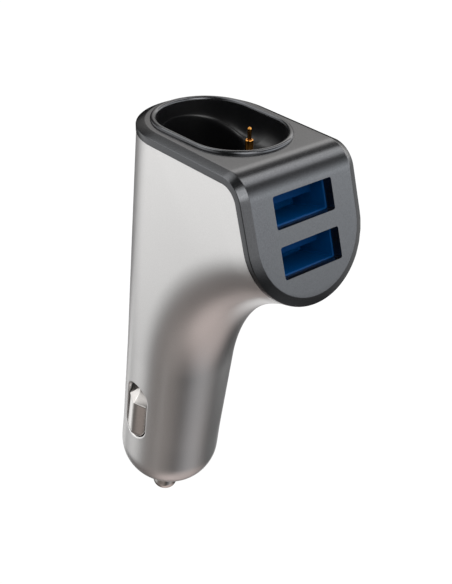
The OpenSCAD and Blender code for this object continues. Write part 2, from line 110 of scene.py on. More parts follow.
def finish(name, dark, light, grain_scale, cloud_scale, rough,
           metal=0.0, bump=0.05, specular=0.5):
    """A finish with two tints mixed by a fine grain, a roughness that drifts between two
    values in soft clouds, and the grain as a slight relief. Scales are per metre."""
    material = bpy.data.materials.new(name)
    material.use_nodes = True
    tree = material.node_tree
    shader = tree.nodes["Principled BSDF"]
    shader.inputs["Metallic"].default_value = metal
    shader.inputs["Specular IOR Level"].default_value = specular
    place = add_node(tree, "ShaderNodeTexCoord").outputs["Object"]
    grain = add_node(tree, "ShaderNodeTexNoise",
                     {"Scale": grain_scale, "Detail": 2.0}, {"Vector": place})
    cloud = add_node(tree, "ShaderNodeTexNoise",
                     {"Scale": cloud_scale, "Detail": 3.0}, {"Vector": place})
    tint = add_node(tree, "ShaderNodeMix",
                    {"data_type": "RGBA", 6: linear_rgba(dark), 7: linear_rgba(light)},
                    {"Factor": grain.outputs["Fac"]})
    haze = add_node(tree, "ShaderNodeMapRange",
                    {"From Min": 0.3, "From Max": 0.7, "To Min": rough[0], "To Max": rough[1]},
                    {"Value": cloud.outputs["Fac"]})
    relief = add_node(tree, "ShaderNodeBump", {"Strength": bump, "Distance": 0.1/grain_scale},
                      {"Height": grain.outputs["Fac"]})
    tree.links.new(tint.outputs[2], shader.inputs["Base Color"])
    tree.links.new(haze.outputs["Result"], shader.inputs["Roughness"])
    tree.links.new(relief.outputs["Normal"], shader.inputs["Normal"])
    return material


def grid_quads(points):
    """Quads between neighbours of a rows by columns grid of points."""
    rows, cols = points.shape[:2]
    i = np.arange(rows - 1)[:, None]*cols + np.arange(cols - 1)
    return np.stack([i, i + 1, i + cols + 1, i + cols], -1).reshape(-1, 4)


def make_piece(name, grids, body, material, replaced, sharp_deg=32):
    """One closed mesh, in metres, from grids of points in millimetres: the grids are laid
    side by side, points within two micrometres merge, faces are turned outwards, and only
    edges sharper than the given angle stay hard. It can stand for a CAD node."""
    points = np.concatenate([g.reshape(-1, 3) for g in grids])*MM
    starts = np.cumsum([0] + [g.shape[0]*g.shape[1] for g in grids[:-1]])
    quads = np.concatenate([grid_quads(g) + s for g, s in zip(grids, starts)])
    mesh = bpy.data.meshes.new(name)
    mesh.from_pydata(points, [], quads.tolist())
    bm = bmesh.new()
    bm.from_mesh(mesh)
    bmesh.ops.remove_doubles(bm, verts=bm.verts, dist=MERGE_M)
    bmesh.ops.dissolve_degenerate(bm, edges=bm.edges, dist=SLIVER_M)
    bmesh.ops.recalc_face_normals(bm, faces=bm.faces)
    bm.to_mesh(mesh)
    bm.free()
    mesh.shade_smooth()
    mesh.set_sharp_from_angle(angle=math.radians(sharp_deg))
    mesh.materials.append(material)
    piece = bpy.data.objects.new(name, mesh)
    scene.collection.objects.link(piece)
    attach(piece, body)
    if replaced:
        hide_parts(replaced)
    return piece


def stadium_reach(angle, half, radius, behind=0.0):
    """Distance to the edge of a stadium, whose straight sides run along angle 0, from a
    point on its long axis that lies behind its centre: the flat side where the ray meets
    it, or else the circle of the end that the ray leaves through."""
    c, s = np.cos(angle), np.sin(angle)
    flat = radius/np.maximum(np.abs(s), 1e-9)
    x = flat*c
    end = np.where(x > behind, behind + half, behind - half)
    ended = end*c + np.sqrt(np.maximum(radius**2 - (end*s)**2, 0))
    return np.where(np.abs(x - behind) <= half, flat, ended)


def direction(degrees):
    """Unit (x, z) direction at an angle above the X axis."""
    return np.array([math.cos(math.radians(degrees)), math.sin(math.radians(degrees))])


top_dir, top_out = direction(TOP_SLOPE), direction(TOP_SLOPE + 90)
front_dir, front_out = direction(FRONT_TILT - 90), direction(FRONT_TILT)
top_origin = np.array([0.0, TOP_Z])
corner = top_origin + TOP_LEN*top_dir
bend_turn = math.radians(90 + TOP_SLOPE - FRONT_TILT)
bend_tangent = BEND_R*math.tan(bend_turn/2)
bend_centre = corner + front_dir*bend_tangent - front_out*BEND_R

# The body's centre line turns, then runs straight to the middle of the front's round end
round_middle = corner + front_dir*FRONT_LEN - front_out*COVER_T
ARC_R = ((round_middle[1] - ELBOW_Z)*math.sin(ARC_TURN) - round_middle[0]*math.cos(ARC_TURN))
ARC_R /= 1 - math.cos(ARC_TURN)
NECK_RUN = (round_middle[0] - ARC_R*(1 - math.cos(ARC_TURN)))/math.sin(ARC_TURN) + BEND_R
NECK_RUN += (corner - round_middle) @ direction(90 - math.degrees(ARC_TURN))


def depth_under_wrap(p):
    """How deep a point of the side view lies under the cover's outside: below the flat
    top or behind the flat front, whichever is less, or inside the round bend."""
    top = -(p - top_origin) @ top_out
    front = -(p - corner) @ front_out
    q = p - bend_centre
    in_bend = (q @ top_dir > 0) & (q @ front_dir < 0)
    return np.where(in_bend, BEND_R - np.hypot(q[..., 0], q[..., 1]), np.minimum(top, front))


def body_rings(turns, runs, inset, count):
    """Half rings of the bent body on planes that turn about the bend's centre: a half
    circle inside the bend, half an ellipse outside it that keeps the back upright, and
    flat sides between, all sampled at even lengths round from front to back."""
    t, run = turns[:, None], runs[:, None]
    neck = ELBOW_R + (NECK_R - ELBOW_R)*t/ARC_TURN - inset
    growth = (HEAD_R - ELBOW_R)/(TOP_Z - ELBOW_Z)
    back_mid = ARC_R/np.cos(t)
    back_half = np.minimum(ELBOW_R + growth*ARC_R*np.tan(t), HEAD_R) - inset
    back_far = np.minimum((ARC_R + ELBOW_R - inset)/(np.cos(t) - growth*np.sin(t)),
                          (ARC_R + HEAD_R - inset)/np.cos(t))
    a = np.linspace(0, math.pi/2, CURVE_SAMPLES)
    b = a[::-1]
    across = np.concatenate(
        [ARC_R - neck*np.cos(a), back_mid + (back_far - back_mid)*np.cos(b)], 1)
    side = np.concatenate([neck*np.sin(a), back_half*np.sin(b)], 1)
    step = np.hypot(np.diff(across), np.diff(side))
    length = np.concatenate([np.zeros_like(t), np.cumsum(step, 1)], 1)
    even = np.linspace(0, 1, count)
    u = np.array([np.interp(even*w[-1], w, p) for w, p in zip(length, across)])
    v = np.array([np.interp(even*w[-1], w, p) for w, p in zip(length, side)])
    x = ARC_R + run*np.sin(t) - u*np.cos(t)
    z = ELBOW_Z + run*np.cos(t) + u*np.sin(t)
    return np.stack([x, -v, z], -1)


def bent_body(inset, rows):
    """The bent body up to where it meets the underside of the cover: each line of points
    up the rings is cut where it comes out of the wrap, and then divided evenly."""
    turns = np.concatenate([np.linspace(0, ARC_TURN, TURN_RINGS), np.full(RUN_RINGS, ARC_TURN)])
    runs = np.concatenate([np.zeros(TURN_RINGS), np.linspace(0, NECK_RUN, RUN_RINGS + 1)[1:]])
    rings = body_rings(turns, runs, inset, HALF_RING + 1)
    spare = depth_under_wrap(rings[..., [0, 2]]) - COVER_T
    out = np.argmax(spare < 0, 0)
    cols = np.arange(rings.shape[1])
    before, after = spare[out - 1, cols], spare[out, cols]
    end = out - 1 + before/(before - after)
    at = np.linspace(0, 1, rows)[:, None]*end
    low = np.minimum(at.astype(int), len(rings) - 2)
    share = (at - low)[..., None]
    return rings[low, cols]*(1 - share) + rings[low + 1, cols]*share


def turned(profile, angles):
    """Rows of points of a turned form: each (radius, height) of the profile is carried
    round the Z axis through the angles."""
    r, z = np.array(profile, float).T
    a = np.asarray(angles)[None, :]
    return np.stack([r[:, None]*np.cos(a), -r[:, None]*np.sin(a), z[:, None] + 0*a], -1)


def barrel_radius(z):
    """Radius of the barrel at a height: the plain band, then its light draft."""
    share = np.clip((z - BAND_HALF)/(ELBOW_Z - BAND_HALF), 0, 1)
    return BARREL_R + (ELBOW_R - BARREL_R)*share


def with_mirror(grids):
    """The grids, and the same grids on the other side of the mirror plane."""
    return [*grids, *[g*np.array([1, -1, 1]) for g in grids]]


half_turn = np.linspace(0, math.pi, HALF_RING + 1)
quarter = np.linspace(0, math.pi/2, 5)
flat_r = BARREL_R - DOME_R
dome_a = np.linspace(math.asin((TIP_HOLE_R + SLOT_EDGE - flat_r)/DOME_R), math.pi/2, 25)
dome = np.stack([flat_r + DOME_R*np.sin(dome_a), -BAND_HALF - DOME_R*np.cos(dome_a)], -1)
mouth = np.stack([TIP_HOLE_R + SLOT_EDGE*(1 - np.cos(quarter)),
                  dome[0, 1] + SLOT_EDGE*(1 - np.sin(quarter))], -1)

# Round the side slot the wall is a block of columns, from one height to another, whose
# outline is joined to the slot's edge by rings
BLOCK_Z0, BLOCK_Z1, BLOCK_ROWS, BLOCK_HALF_COLS = 1.2, 18.7, 31, 14
c0, c1 = HALF_RING//2 - BLOCK_HALF_COLS, HALF_RING//2 + BLOCK_HALF_COLS
block_z = np.linspace(BLOCK_Z0, BLOCK_Z1, BLOCK_ROWS)


def wall_rows(radius, z, cols):
    """Rows of a round wall at the given heights and the given columns of the half ring."""
    z = np.asarray(z, float)
    return turned(np.stack([radius + 0*z, z], -1), half_turn[cols])


def block_outline(radius):
    """Outline of the block round the slot, as closed (x, z) points on a round wall."""
    x = radius[:, None]*np.cos(half_turn[c0:c1 + 1])
    edge_x = np.concatenate([x[0, :-1], x[:-1, -1], x[-1, :0:-1], x[:0:-1, 0]])
    edge_z = np.concatenate([np.full(c1 - c0, BLOCK_Z0), block_z[:-1],
                             np.full(c1 - c0, BLOCK_Z1), block_z[:0:-1]])
    outline = np.stack([edge_x, edge_z], -1)
    return np.concatenate([outline, outline[:1]])


outer_outline = block_outline(barrel_radius(block_z))
slot_angle = np.arctan2(outer_outline[:, 0], outer_outline[:, 1] - SLOT_Z)


def slot_loop(grow):
    """The slot's outline in (x, z), grown by an amount, at the angles of the block."""
    reach = stadium_reach(slot_angle, (SLOT_LEN - SLOT_W)/2, SLOT_W/2 + grow)
    return np.stack([reach*np.sin(slot_angle), SLOT_Z + reach*np.cos(slot_angle)], -1)


def onto_wall(flat, radius_of, depth=0.0):
    """Puts (x, z) points onto a round wall on the near side, pressed in by a depth."""
    x, z = np.moveaxis(flat, -1, 0)
    return np.stack([x, depth - np.sqrt(radius_of(z)**2 - x**2), z], -1)


# The rings crowd towards the slot's edge, where the wall turns in
weights = (1 - (1 - np.linspace(0, 1, 8))**1.5)[:, None, None]
slot_face = onto_wall(outer_outline*(1 - weights) + slot_loop(SLOT_EDGE)*weights, barrel_radius)
slot_round = np.array([onto_wall(slot_loop(SLOT_EDGE*(1 - math.sin(a))), barrel_radius,
                                 SLOT_EDGE*(1 - math.cos(a))) for a in quarter])
weights = np.linspace(0, 1, 3)[:, None, None]
bore_outline = block_outline(np.full(BLOCK_ROWS, BORE_R))
bore_face = onto_wall(bore_outline*(1 - weights) + slot_loop(0)*weights, lambda z: BORE_R + 0*z)
weights = np.linspace(0, 1, 4)[:, None, None]
slot_through = slot_round[-1]*(1 - weights) + bore_face[-1]*weights
all_cols = slice(0, HALF_RING + 1)
beside_slot = [(block_z, slice(0, c0 + 1)), (block_z, slice(c1, HALF_RING + 1))]
low_z, high_z = np.linspace(-BAND_HALF, BLOCK_Z0, 7), np.linspace(BLOCK_Z1, ELBOW_Z, 9)
outside, inside = bent_body(0, 120), bent_body(WALL, 40)
half_shell = [
    turned(mouth, half_turn), turned(dome, half_turn),
    slot_face, slot_round, slot_through, bore_face,
    *[wall_rows(barrel_radius(z), z, cols) for z, cols in (
        (low_z, all_cols), (high_z, all_cols), *beside_slot)],
    *[wall_rows(BORE_R, z, cols) for z, cols in (
        ((LEDGE_Z, BLOCK_Z0), all_cols), ((BLOCK_Z1, ELBOW_Z), all_cols), *beside_slot)],
    outside, np.stack([outside[-1], inside[-1]]), inside,
    np.stack([wall_rows(BORE_R, [ELBOW_Z], all_cols)[0], inside[0]]),
    turned([(BORE_R, LEDGE_Z), (CHAMBER_R, LEDGE_Z), (CHAMBER_R, CHAMBER_Z),
            (TIP_HOLE_R, CHAMBER_Z), (TIP_HOLE_R, mouth[0, 1])], half_turn),
]

# Satin silver lacquer over metal flake: broad soft reflections and a very fine grain
silver = finish("satin_silver_lacquer", "#d7d6d5", "#e5e4e3", 5200, 60, (0.30, 0.34), metal=0.92)
make_piece("housing_shell", with_mirror(half_shell),
           "housing", silver, "body_shell")

# Cover
# A separate moulding, lacquered dark grey, that wraps over the sloping top and down the
# front. Its edge is bevelled all round, and it clips into the housing with a lip.
COVER_HALF, BEVEL_W, BEVEL_H, EDGE_R = 12.6, 1.6, 0.7, 0.22
PORT_W, PORT_H, PORT_FIRST, PORT_PITCH, PORT_CORNER = 12.9, 5.6, 7.05, 8.5, 0.4
PORT_MIDDLES = (PORT_FIRST, PORT_FIRST + PORT_PITCH)
CRADLE_S, CRADLE_HALF, CRADLE_R, CUP_R, CUP_ROOM = 3.7, 4.0, 8.8, 9.7, 0.1
top_run, bend_run = TOP_LEN - bend_tangent, BEND_R*bend_turn
front_start = top_run + bend_run
edge_s = front_start - bend_tangent
front_end = edge_s + FRONT_LEN


def on_plane(flat, origin, run_dir, out_dir):
    """Puts (along, across, height) onto a plane of the part, from its origin."""
    s, y, h = np.moveaxis(flat, -1, 0)
    p = origin + s[..., None]*run_dir + h[..., None]*out_dir
    return np.stack([p[..., 0], y, p[..., 1]], -1)


def wrap(flat):
    """Puts (distance along, across, height) onto the cover: straight up the sloping top,
    round the bend and straight down the front, with height along the outward normal."""
    s, y, h = np.moveaxis(flat, -1, 0)
    angle = math.radians(90 + TOP_SLOPE) - np.clip(s - top_run, 0, bend_run)/BEND_R
    p = bend_centre + (BEND_R + h)[..., None]*np.stack([np.cos(angle), np.sin(angle)], -1)
    on_bend = np.stack([p[..., 0], y, p[..., 1]], -1)
    on_top = on_plane(flat, top_origin, top_dir, top_out)
    on_front = on_plane(flat - np.array([edge_s, 0, 0]), corner, front_dir, front_out)
    s = s[..., None]
    return np.where(s < top_run, on_top, np.where(s > front_start, on_front, on_bend))


def lift(points, height):
    """Adds a height to flat (along, across) points."""
    return np.concatenate([points, np.full((*points.shape[:-1], 1), float(height))], -1)


def rounded(corner_at, before, after, radius, steps):
    """A curve that rounds a corner between two unit directions pointing away from it: it
    runs between the tangent points as a quadratic blend through the corner."""
    corner_at, before, after = map(np.array, (corner_at, before, after))
    reach = radius/math.tan(math.acos(before @ after)/2)
    t = np.linspace(0, 1, steps)[:, None]
    a, b = corner_at + before*reach, corner_at + after*reach
    return (1 - t)**2*a + 2*t*(1 - t)*corner_at + t**2*b


# The edge's section as (distance in from the edge, height), down to the underside
slope = np.array([BEVEL_W, BEVEL_H])/math.hypot(BEVEL_W, BEVEL_H)
section = np.concatenate([
    rounded((BEVEL_W, 0), (1, 0), -slope, 0.5, 5),
    rounded((0, -BEVEL_H), slope, (0, -1), EDGE_R, 5),
    rounded((0, -COVER_T), (0, 1), (1, 0), EDGE_R, 4),
    [(0.6, -COVER_T)],
])
FACE_IN, UNDER_IN = section[0, 0], section[-1, 0]

CORNER_STEP = PORT_CORNER/2
side_s, bend_s = np.linspace(0, top_run, 17), np.linspace(top_run, front_start, 29)
port_rows = [edge_s + m + k for m in PORT_MIDDLES
             for k in (-PORT_H/2, -PORT_H/2 + CORNER_STEP, -PORT_H/2 + PORT_CORNER, -PORT_H/6,
                       PORT_H/6, PORT_H/2 - PORT_CORNER, PORT_H/2 - CORNER_STEP, PORT_H/2)]
front_s = np.unique(np.round([front_start, *port_rows, *np.linspace(port_rows[7], port_rows[8], 4),
                              front_end, port_rows[-1] + 0.5], 6))
straight_s, round_s = front_s[front_s <= front_end + 1e-5], front_s[front_s > front_end + 1e-5]
# Columns of the front face, of which one runs along the sides of the openings
port_cols = np.array([0, 1.6, 3.2, 4.8, PORT_W/2 - PORT_CORNER, PORT_W/2 - CORNER_STEP,
                      PORT_W/2, PORT_W/2 + 0.4])
PORT_SIDE_COL = 6
face_rows = np.concatenate([bend_s, front_s[1:]])
REAR = 25
RING = REAR + len(side_s) - 1


def edge_points(inset):
    """Half of the cover's outline, an inset in from its edge: round the rear, straight
    along the side, and round the front's lower end. The lower end's points fall where
    rows of the face end, and then at even angles to the bottom."""
    r = COVER_HALF - inset
    rear = np.linspace(math.pi, math.pi/2, REAR)
    arc = np.arcsin((round_s - front_end)/(COVER_HALF - FACE_IN))
    arc = np.concatenate([arc, np.linspace(arc[-1], math.pi/2, len(port_cols) + 4)[1:]])
    sides = np.concatenate([side_s[1:], bend_s[1:], straight_s[1:]])
    return np.concatenate([
        np.stack([r*np.cos(rear), -r*np.sin(rear)], -1),
        np.stack([sides, np.full(len(sides), -r)], -1),
        np.stack([front_end + r*np.sin(arc), -r*np.cos(arc)], -1)])


def cover_face(inset, height):
    """Half of a face of the cover, as grids: a ring round the cradle's hole, rows across
    the bend and between the sockets with rounded corners, and the disc end below."""
    outline = edge_points(inset)
    edge = outline[RING - 1:RING - 1 + len(face_rows)]
    fixed = np.stack(np.broadcast_arrays(face_rows[:, None], -port_cols), -1)
    spread = np.linspace(0, 1, 5)[1:, None]
    sheet = np.concatenate([fixed, fixed[:, -1:]*(1 - spread) + edge[:, None]*spread], 1)
    rim = np.concatenate([outline[:RING], sheet[0, -2::-1]])
    rel = rim - np.array([CRADLE_S, 0])
    angle = np.arctan2(rel[:, 1], rel[:, 0])
    reach = stadium_reach(angle, CRADLE_HALF, CUP_R + CUP_ROOM)[:, None]
    hole = np.array([CRADLE_S, 0]) + reach*np.stack([np.cos(angle), np.sin(angle)], -1)
    w = np.linspace(0, 1, 4)[:, None, None]
    parts = [rim*(1 - w) + hole*w]
    start = 0
    for middle in PORT_MIDDLES:
        top, low = [int(np.argmin(np.abs(face_rows - edge_s - middle - k*PORT_H/2)))
                    for k in (-1, 1)]
        parts += [sheet[start:top + 1], sheet[top:low + 1, PORT_SIDE_COL:]]
        start = low
        for row, sign in ((top, 1), (low, -1)):
            down, across = sheet[row, PORT_SIDE_COL]
            turn = np.linspace(0, math.pi/2, 5)
            steps = CORNER_STEP*np.array([[0, 2], [0, 1], [0, 0], [1, 0], [2, 0]])
            arc = PORT_CORNER*np.stack([1 - np.cos(turn), 1 - np.sin(turn)], -1)
            parts.append(np.array([down, across]) + np.array([sign, 1])*np.stack([steps, arc]))
    parts.append(sheet[start:])
    w = np.linspace(0, 1, 5)[:, None, None]
    parts.append(sheet[-1, ::-1]*(1 - w) + outline[-len(port_cols) - 4:]*w)
    return [lift(p, height) for p in parts], lift(hole, height)


def port_loop():
    """Half of a socket opening's outline round its middle, in (down, across) points."""
    turn = np.linspace(0, math.pi/2, 5)[1:]
    line = np.stack([np.full(5, -PORT_H/2), -port_cols[:5]], -1)
    arc = np.stack([-PORT_H/2 + PORT_CORNER*(1 - np.cos(turn)),
                    -port_cols[4] - PORT_CORNER*np.sin(turn)], -1)
    upper = np.concatenate([line, arc])
    side = [(-PORT_H/6, -PORT_W/2), (PORT_H/6, -PORT_W/2)]
    return np.concatenate([upper, side, (upper*np.array([-1, 1]))[::-1]])


face, hole_top = cover_face(FACE_IN, 0.0)
under, hole_low = cover_face(UNDER_IN, -COVER_T)
edge_grid = np.array([lift(edge_points(i), h) for i, h in section])
port_walls = [np.stack([lift(port_loop() + np.array([edge_s + m, 0]), h)
                        for h in (0.0, -0.08, -1.0, -COVER_T)]) for m in PORT_MIDDLES]
hole_wall = np.stack([hole_top, hole_low])
half_cover = [wrap(g) for g in [edge_grid, *face, *under, *port_walls, hole_wall]]

# Dark grey lacquer on the moulding: metallic, satin, with a grain that can just be seen
gunmetal = finish("dark_grey_satin_lacquer", "#464749", "#5c5d5f", 4200, 45, (0.18, 0.23),
                  metal=0.9, bump=0.22)
make_piece("wrapped_cover", with_mirror(half_cover), "housing", gunmetal, "top_cover")

# Cradle
# A cup of black polycarbonate, dropped into the cover's opening: a dark grey bead that
# rests on the cover, a hollow shelf, and a deep pocket for the earpiece's round body.
POCKET_S, POCKET_R, POCKET_DEPTH, POCKET_WALL, SKIN = -1.6, 7.4, 20.0, 0.9, 1.2
BEAD_R, BEAD_LIFT, FLOOR_ROUND, SHELF_DEPTH = 0.575, 0.025, 1.0, 5.1
PIN_S, BOSS_R, BOSS_H, BOSS_ROUND, BOSS_HOLE_R, BOSS_HOLE_EDGE = 11.1, 1.7, 1.2, 0.35, 0.9, 0.08
# The shelf's bends: their distance along the top, and the shelf's height at each
SHELF_AT, SHELF_H = (-11, -0.5, 12.6, 18.4), (-2, -SHELF_DEPTH, -SHELF_DEPTH, -2.4)
# Roundings of the pocket's rim and of the wall's foot: the most, the share of the shelf's
# width that they may take, and how far they reach down or up
RIM_ROUND, RIM_SHARE, RIM_DROP = 1.1, 0.36, 1.3
FOOT_ROUND, FOOT_SHARE, FOOT_RISE_SHARE = 3.2, 0.95, 0.72


def shelf_height(s):
    """Height of the shelf at a distance along the top: it falls from the rear, runs
    level, and rises to the front, with its two bends softened over two millimetres."""
    spread = np.linspace(-1, 1, 9)
    return np.interp(s[..., None] + spread, SHELF_AT, SHELF_H).mean(-1)


# Angles round the pocket's axis at which the opening's edge is divided evenly
fine = np.linspace(0, math.pi, 2001)
reach = stadium_reach(fine, CRADLE_HALF, CRADLE_R, CRADLE_S - POCKET_S)
edge_step = np.hypot(np.diff(reach*np.cos(fine)), np.diff(reach*np.sin(fine)))
edge_length = np.concatenate([[0], np.cumsum(edge_step)])
ray = np.interp(np.linspace(0, edge_length[-1], 121), edge_length, fine)
reach = stadium_reach(ray, CRADLE_HALF, CRADLE_R, CRADLE_S - POCKET_S)
outer_reach = stadium_reach(ray, CRADLE_HALF, CUP_R, CRADLE_S - POCKET_S)
rim_round = np.minimum(RIM_ROUND, RIM_SHARE*(reach - POCKET_R))
foot_round = np.minimum(FOOT_ROUND, FOOT_SHARE*(reach - POCKET_R - rim_round))


def cup_rows(radii, heights):
    """Rows of the cup from radii and heights round the pocket's axis, which may each be
    one number or a value for every ray."""
    r, h = np.broadcast_arrays(radii, heights, ray[None])[:2]
    return np.stack([POCKET_S + r*np.cos(ray), -r*np.sin(ray), h], -1)


def shelf_rows(radii, drop=0.0):
    """Rows of the cup that lie on the shelf, lowered by a drop."""
    r = np.broadcast_arrays(radii, ray[None])[0]
    return cup_rows(r, shelf_height(POCKET_S + r*np.cos(ray)) - drop)


a = np.linspace(0, math.pi/2, 7)[:, None]
bead_a = np.linspace(0, math.pi, 15)[:, None]
share = np.linspace(0, 1, 14)[1:-1, None]
rim_r, foot_r = POCKET_R + rim_round, reach - foot_round
rim_h, foot_low = shelf_rows(rim_r)[..., 2], shelf_rows(reach)[..., 2]
foot_rise = np.minimum(FOOT_ROUND, -FOOT_RISE_SHARE*foot_low)
curve_r = foot_r + foot_round*np.sin(a)
floor_top = -POCKET_DEPTH + FLOOR_ROUND
half_cup = [np.concatenate([
    cup_rows(np.array([[0.0], [3.0]]), -POCKET_DEPTH),
    cup_rows(POCKET_R - FLOOR_ROUND*(1 - np.sin(a)), floor_top - FLOOR_ROUND*np.cos(a)),
    cup_rows(POCKET_R, floor_top + (rim_h - RIM_DROP - floor_top)*np.array([[0.33], [0.66]])),
    cup_rows(POCKET_R + rim_round*(1 - np.cos(a)), rim_h - RIM_DROP*(1 - np.sin(a))),
    shelf_rows(rim_r + (foot_r - rim_r)*share),
    cup_rows(curve_r, shelf_rows(curve_r)[..., 2] + foot_rise*(1 - np.cos(a))),
    cup_rows(reach, (foot_low + foot_rise)*np.array([[0.66], [0.33], [0.0]])),
    cup_rows(outer_reach, 0.0),
    shelf_rows(outer_reach, SKIN),
    shelf_rows(POCKET_R + POCKET_WALL, SKIN),
    cup_rows(np.array([[POCKET_R + POCKET_WALL], [0.0]]), -POCKET_DEPTH - SKIN),
])]
bead = np.concatenate([
    cup_rows(reach, 0.0),
    cup_rows(reach + BEAD_R*(1 - np.cos(bead_a)), BEAD_LIFT + BEAD_R*np.sin(bead_a)),
    cup_rows(np.stack([reach + 2*BEAD_R, reach]), 0.0),
])
whole_turn = np.linspace(0, 2*math.pi, 49)


def on_top(flat, s):
    """Puts a form that stands on Z onto the top, at a distance along it."""
    return on_plane(flat + np.array([s, 0, 0]), top_origin, top_dir, top_out)


boss_top, boss_foot = BOSS_H - SHELF_DEPTH, -SHELF_DEPTH - SKIN
boss_profile = np.concatenate([
    [(BOSS_HOLE_R, boss_foot), (BOSS_R, boss_foot)],
    rounded((BOSS_R, boss_top), (0, -1), (-1, 0), BOSS_ROUND, 6),
    rounded((BOSS_HOLE_R, boss_top), (1, 0), (0, -1), BOSS_HOLE_EDGE, 3),
    [(BOSS_HOLE_R, boss_foot)]])
boss = turned(boss_profile, whole_turn)

# Smooth black plastic: soft reflections, with a faint grain and a haze of handling
black = finish("smooth_black_polycarbonate", "#08080a", "#0f0f10", 4200, 140, (0.32, 0.4),
               bump=0.1)
make_piece("earpiece_cradle",
           [*[on_top(g, 0) for g in with_mirror(half_cup)], on_top(boss, PIN_S)],
           "housing", black, "cradle_cup")
make_piece("cradle_bead", [on_top(g, 0) for g in with_mirror([bead])],
           "housing", gunmetal, None)

# Charging pin
# A sprung pin of gold plated brass: a barrel pressed into the boss, its mouth rolled in
# over the plunger, and the plunger with a round end.
PIN_R, PLUNGER_R, PLUNGER_ROOM = 0.72, 0.36, 0.08
PIN_FOOT, PIN_HOLE_END, PLUNGER_FOOT, SHOULDER, PLUNGER_UP = -7.9, -4.3, -2.8, -0.2, 2.0
# Gold over turned brass: sharp warm reflections, a little uneven
gold = finish("gold_plated_brass", "#bb7c36", "#d2984c", 2600, 300, (0.14, 0.22),
              metal=1.0, bump=0.03)
hole_r = PLUNGER_R + PLUNGER_ROOM
barrel_profile = np.concatenate([
    [(0, PIN_FOOT)], rounded((PIN_R, PIN_FOOT), (-1, 0), (0, 1), 0.15, 3),
    rounded((PIN_R, SHOULDER), (0, -1), (-1, 0), 0.2, 5),
    rounded((hole_r, SHOULDER), (1, 0), (0, -1), 0.05, 3),
    [(hole_r, PIN_HOLE_END), (0, PIN_HOLE_END)]])
make_piece("pin_barrel", [on_top(turned(barrel_profile, whole_turn), PIN_S)],
           "housing", gold, "charge_pin_barrel")
ball = np.linspace(0, math.pi/2, 9)[:, None]
round_end = PLUNGER_R*np.concatenate([np.cos(ball), np.sin(ball)], 1)
plunger_profile = np.concatenate([
    [(0, PLUNGER_FOOT), (PLUNGER_R, PLUNGER_FOOT), (PLUNGER_R, 0)],
    round_end + np.array([0, PLUNGER_UP - PLUNGER_R])])
make_piece("pin_plunger", [on_top(turned(plunger_profile, whole_turn), PIN_S)],
           "pin_plunger", gold, "charge_pin_plunger")

# Sockets
# Blue nylon inserts behind the two openings: a box open to the front, and in it the
# tongue that carries four gold contacts.
LINER_WALL, LINER_LEN, TONGUE_T, TONGUE_LEN = 0.65, 9.0, 1.8, 6.0
quadrant = np.linspace(0, math.pi/2, 5)
corner_turn = np.concatenate([quadrant + k*math.pi/2 for k in range(5)])[:21]
corner_side = np.repeat([[1, 1], [-1, 1], [-1, -1], [1, -1], [1, 1]], 5, 0)[:21]


def box_rows(rows):
    """Loops of a box with rounded corners: each row is (half length, half width, corner
    radius, height). A row of zeros before the height closes the box with a flat end."""
    half_x, half_y, r, h = np.array(rows, float).T[..., None]
    x = corner_side[:, 0]*(half_x - r) + r*np.cos(corner_turn)
    y = corner_side[:, 1]*(half_y - r) + r*np.sin(corner_turn)
    return np.stack([x, y, h + 0*x], -1)


liner_x, liner_y = (PORT_H + LINER_WALL)/2, (PORT_W + LINER_WALL)/2
room_x, room_y = (PORT_H - LINER_WALL)/2, (PORT_W - LINER_WALL)/2
back = LINER_WALL - LINER_LEN
liner_box = box_rows([
    (0, 0, 0, -LINER_LEN), (liner_x, liner_y, 0.3, -LINER_LEN), (liner_x, liner_y, 0.3, 0),
    (room_x + 0.12, room_y + 0.12, 0.42, 0), (room_x + 0.04, room_y + 0.04, 0.34, -0.04),
    (room_x, room_y, 0.3, -0.12), (room_x, room_y, 0.3, back + 0.2),
    (room_x - 0.2, room_y - 0.2, 0.1, back), (0, 0, 0, back)])
tongue = box_rows([
    (0, 0, 0, back - 0.01), (TONGUE_T/2, PORT_W/2 - 1, 0.1, back - 0.01),
    (TONGUE_T/2, PORT_W/2 - 1, 0.1, back + TONGUE_LEN - 0.06),
    (TONGUE_T/2 - 0.05, PORT_W/2 - 1.05, 0.1, back + TONGUE_LEN - 0.01),
    (0, 0, 0, back + TONGUE_LEN - 0.01)])
tongue_at = np.array([LINER_WALL/2 + 0.4 + TONGUE_T/2 - PORT_H/2, 0, 0])

# Dyed nylon: deep blue with a fine moulded grain that softens what it reflects. The
# tongues are the same nylon painted darker and duller: painted shade, for the shade inside the
# boxes
blue = finish("dyed_blue_nylon", "#003a6e", "#01457c", 1400, 160, (0.3, 0.4),
              bump=0.06, specular=0.12)
shaded_tongue_blue = finish("blue_nylon_painted_shade", "#002a54", "#003262", 1400, 160, (0.5, 0.6),
                   bump=0.06, specular=0.03)
for where, down in zip(("upper", "lower"), PORT_MIDDLES):
    box, tongue_in_box = [on_plane(g + np.array([down, 0, -COVER_T]), corner, front_dir, front_out)
                          for g in (liner_box, tongue + tongue_at)]
    make_piece("socket_insert_" + where, [box],
               "housing", blue, "usb_liner_" + where)
    # The tongue's darker blue is painted shade from the box around it
    make_piece("socket_tongue_" + where, [tongue_in_box],
               "housing", shaded_tongue_blue, None)

# Centre contact
# Turned brass, nickel plated: a sprung pin with a round end that stands out of the nose.
# Its flange stops it inside.
TIP_R, TIP_END, TIP_FLANGE_R, STEM_R = 2.72, NOSE_Z - 6.0, 4.2, 1.5
tip_profile = np.concatenate([
    [(0, TIP_END)], rounded((TIP_R, TIP_END), (-1, 0), (0, 1), 2.5, 13),
    [(TIP_R, CHAMBER_Z), (TIP_FLANGE_R, CHAMBER_Z), (TIP_FLANGE_R, CHAMBER_Z + 1),
     (STEM_R, CHAMBER_Z + 1), (STEM_R, CHAMBER_Z + 3), (0, CHAMBER_Z + 3)]])
